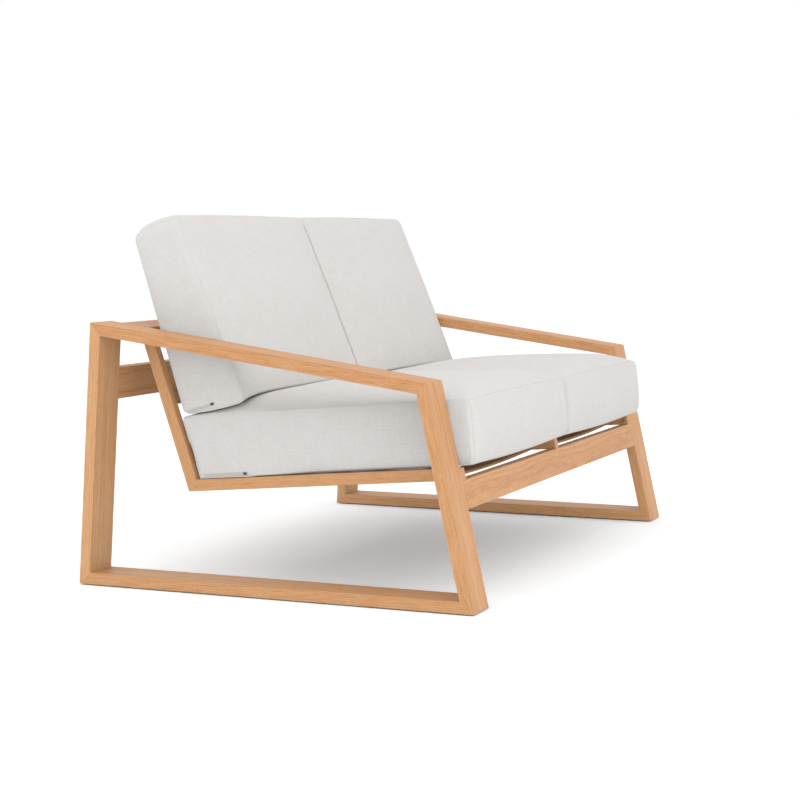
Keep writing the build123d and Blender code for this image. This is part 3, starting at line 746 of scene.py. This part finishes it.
def cushion_object(name, size, span, table, axes, reaches, rounds, corners, skin):
    """A cushion's mesh in its place, moved inwards by a skin.

    With it come which of its vertices lie in a seam, their places in the flat box, and their normals.
    """
    shape = cushion_box(size)
    seams = []
    panels = []
    stations = {}
    shape.verts.index_update()
    for vert in shape.verts:
        co = tuple(round(v, 3) for v in vert.co)
        on = [value in (0, full) for value, full in zip(co, size)]
        seams.append(sum(on) > 1)
        panels.append(co)
        if co[0] not in stations:
            from_middle = abs(2 * co[0] / size[0] - 1)
            stations[co[0]] = {
                panel: bent_line([bend_at(from_middle, *bend) for bend in bends])
                for panel, bends in table.items()
            }
        flat, x = placed(co, size, span, stations[co[0]], reaches, rounds)
        in_across, in_along = corner_shift(co, size, corners)
        x += in_across if co[0] < size[0] / 2 else -in_across
        flat.x += in_along
        side = heel + axes[0] * flat.x + axes[1] * flat.y
        vert.co = Vector((x, side.x, side.y)) * mm
    shape.normal_update()
    bmesh.ops.recalc_face_normals(shape, faces=shape.faces)
    shape.normal_update()
    normals = [vert.normal.copy() for vert in shape.verts]
    for vert, normal in zip(shape.verts, normals):
        vert.co -= normal * (skin * mm)
    mesh = bpy.data.meshes.new(name)
    shape.to_mesh(mesh)
    shape.free()
    mesh.polygons.foreach_set("use_smooth", [True] * len(mesh.polygons))
    made = bpy.data.objects.new(name, mesh)
    scene.collection.objects.link(made)
    return made, seams, panels, normals


def blow_up(made, pinned):
    """Fills a cover, as cloth under pressure that is held where it is pinned, and gives its new places."""
    group = made.vertex_groups.new(name="held")
    group.add([i for i, held in enumerate(pinned) if held], 1.0, "REPLACE")
    cloth = made.modifiers.new("cloth", "CLOTH")
    settings = cloth.settings
    settings.quality = cloth_quality
    settings.mass = cloth_mass
    settings.tension_stiffness = cloth_stiffness
    settings.compression_stiffness = cloth_stiffness
    settings.shear_stiffness = cloth_shear_stiffness
    settings.bending_stiffness = cloth_bending_stiffness
    settings.use_pressure = True
    settings.uniform_pressure_force = cloth_pressure
    settings.shrink_min = cloth_shrink
    settings.vertex_group_mass = "held"
    settings.effector_weights.gravity = 0
    cloth.collision_settings.use_collision = False
    cloth.point_cache.frame_start = 1
    cloth.point_cache.frame_end = cloth_frames
    for step in range(1, cloth_frames + 1):
        scene.frame_set(step)
    filled = made.evaluated_get(bpy.context.evaluated_depsgraph_get())
    places = np.zeros(len(made.data.vertices) * 3)
    filled.data.vertices.foreach_get("co", places)
    made.modifiers.remove(cloth)
    made.vertex_groups.remove(group)
    scene.frame_set(1)
    return places.reshape(-1, 3)


def swell_limits(part, side, size, panels, seams):
    """How far each vertex may swell, in mm: nothing in a seam or where the cushion rests on something."""
    limits = []
    for (across, along, height), seam in zip(panels, seams):
        width, length, thickness = size
        inner = across == width if side == "left" else across == 0
        rests = height == 0 if part == "seat" else height == 0 or along == 0
        covered = part == "seat" and height == thickness and along < covered_run
        if seam or rests or covered:
            limits.append(0.0)
        elif across in (0, width):
            limits.append(inner_swell if inner else side_swell)
        else:
            limits.append(free_swell)
    return np.array(limits)


for side in ("left", "right"):
    span = (-outer_side, -inner_side) if side == "left" else (inner_side, outer_side)
    for part, table, axes, length in (
        ("seat", seat_lines, seat_axes, seat_length),
        ("back", back_lines, back_axes, back_length),
    ):
        name = f"{side}_{part}_cushion"
        size = (span[1] - span[0], length, box_thickness)
        reaches = {frozenset(("top", end)): soft_reach for end in ("front", "rear")}
        if part == "seat":
            reaches[frozenset(("low", "rear"))] = tight_reach
            reaches[frozenset(("low", "front"))] = under_reach
            reaches[frozenset(("top", "front"))] = fore_reach
        else:
            reaches[frozenset(("low", "rear"))] = soft_reach
            reaches[frozenset(("low", "front"))] = wide_reach
        rounds = dict.fromkeys(panel_ends, (side_round, side_round))
        if part == "seat":
            rounds["low"] = (zip_round, low_round)
        else:
            rounds["rear"] = (zip_round, zip_round)
        corners = corner_rounds[part]
        cover, seams, panels, normals = cushion_object(
            f"{name}_linen_cover", size, span, table, axes, reaches, rounds, corners, start_shrink
        )
        count = len(cover.data.vertices)
        before = np.zeros(count * 3)
        cover.data.vertices.foreach_get("co", before)
        before = before.reshape(-1, 3)
        outwards = np.array([tuple(n) for n in normals])
        limits = swell_limits(part, side, size, panels, seams)
        moved = blow_up(cover, [limit == 0 for limit in limits]) - before
        reach = np.maximum(limits, least_reach) * mm
        amount = np.linalg.norm(moved, axis=1) + least_move
        moved = moved * (reach * np.tanh(amount / reach) / amount)[:, None]
        moved[limits == 0] = outwards[limits == 0] * (start_shrink * mm)
        moved[np.array(seams)] -= outwards[np.array(seams)] * (seam_depth * mm)
        cover.data.vertices.foreach_set("co", (before + moved).ravel())
        cover.data.update()
        # The seam vertices are marked so that the linen is painted darker there, as painted shade.
        drawn = cover.data.attributes.new("seam", "FLOAT", "POINT")
        drawn.data.foreach_set("value", [float(seam) for seam in seams])
        cover.data.materials.append(linen)
        smooth = cover.modifiers.new("smooth", "SUBSURF")
        smooth.levels = 1
        smooth.render_levels = 1
        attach(cover, name)
        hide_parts(f"{name}_cover")

        foam, *_ = cushion_object(
            f"{name}_foam_core", size, span, table, axes, reaches, rounds, corners, start_shrink + foam_inset
        )
        foam.data.materials.append(foam_material)
        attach(foam, name)
        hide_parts(f"{name}_foam")


# Zips
# A woven polyester tape with a nylon coil along the lower seam of each outer side panel, and a small slider
# of cast zinc. Tape and coil are matt and nearly the cloth's colour, ribbed by the coil's turns, which are
# also painted lighter on their crests and darker between them, as painted light and shade; the slider's
# dark enamel shines a little.

coil_pitch = 1.4 * mm
coil_relief = 0.3 * mm
tape_dark = "#CCC7C1"
tape_light = "#DDDAD6"
enamel_dark = "#1E1C1A"
enamel_light = "#3A3734"
speckle_size = 1.2 * mm
enamel_roughness = (0.3, 0.5)

for part, slope in (("seat", -seat_pitch), ("back", -back_recline)):
    zip_material, tree, shader = new_material(f"woven_tape_and_nylon_coil_{part}", Roughness=0.7)
    place = add_node(tree, "ShaderNodeTexCoord")
    along = add_node(tree, "ShaderNodeMapping",
                     {"Vector": place.outputs["Object"], "Rotation": lengthwise(slope)})
    parts = add_node(tree, "ShaderNodeSeparateXYZ", {0: along.outputs[0]})
    angle = add_node(tree, "ShaderNodeMath", {0: parts.outputs["Z"], 1: 2 * math.pi / coil_pitch},
                     operation="MULTIPLY")
    teeth = add_node(tree, "ShaderNodeMath", {0: angle.outputs[0]}, operation="SINE")
    # Painted light and shade: each turn of the coil is painted lighter on its crest and darker between turns.
    lit = add_node(tree, "ShaderNodeMapRange", {"Value": teeth.outputs[0], "From Min": -1.0})
    tint = add_node(tree, "ShaderNodeMix",
                    {"Factor": lit.outputs[0], 6: linear(tape_dark), 7: linear(tape_light)}, data_type="RGBA")
    tree.links.new(tint.outputs[2], shader.inputs["Base Color"])
    bump = add_node(tree, "ShaderNodeBump",
                    {"Height": lit.outputs[0], "Strength": 0.8, "Distance": coil_relief})
    tree.links.new(bump.outputs[0], shader.inputs["Normal"])
    for side in ("left", "right"):
        finish(f"{side}_{part}_zip", zip_material)

enamel, tree, shader = new_material("dark_enamelled_zinc", IOR=1.5)
place = add_node(tree, "ShaderNodeTexCoord")
speckle = add_node(tree, "ShaderNodeTexNoise", {"Vector": place.outputs["Object"], "Scale": 1 / speckle_size})
tint = add_node(tree, "ShaderNodeMix",
                {"Factor": speckle.outputs[0], 6: linear(enamel_dark), 7: linear(enamel_light)},
                data_type="RGBA")
tree.links.new(tint.outputs[2], shader.inputs["Base Color"])
rough = add_node(tree, "ShaderNodeMapRange", {"Value": speckle.outputs[0], "To Min": enamel_roughness[0],
                                              "To Max": enamel_roughness[1]})
tree.links.new(rough.outputs[0], shader.inputs["Roughness"])
for side in ("left", "right"):
    for part in ("seat", "back"):
        finish(f"{side}_{part}_zip_slider", enamel)
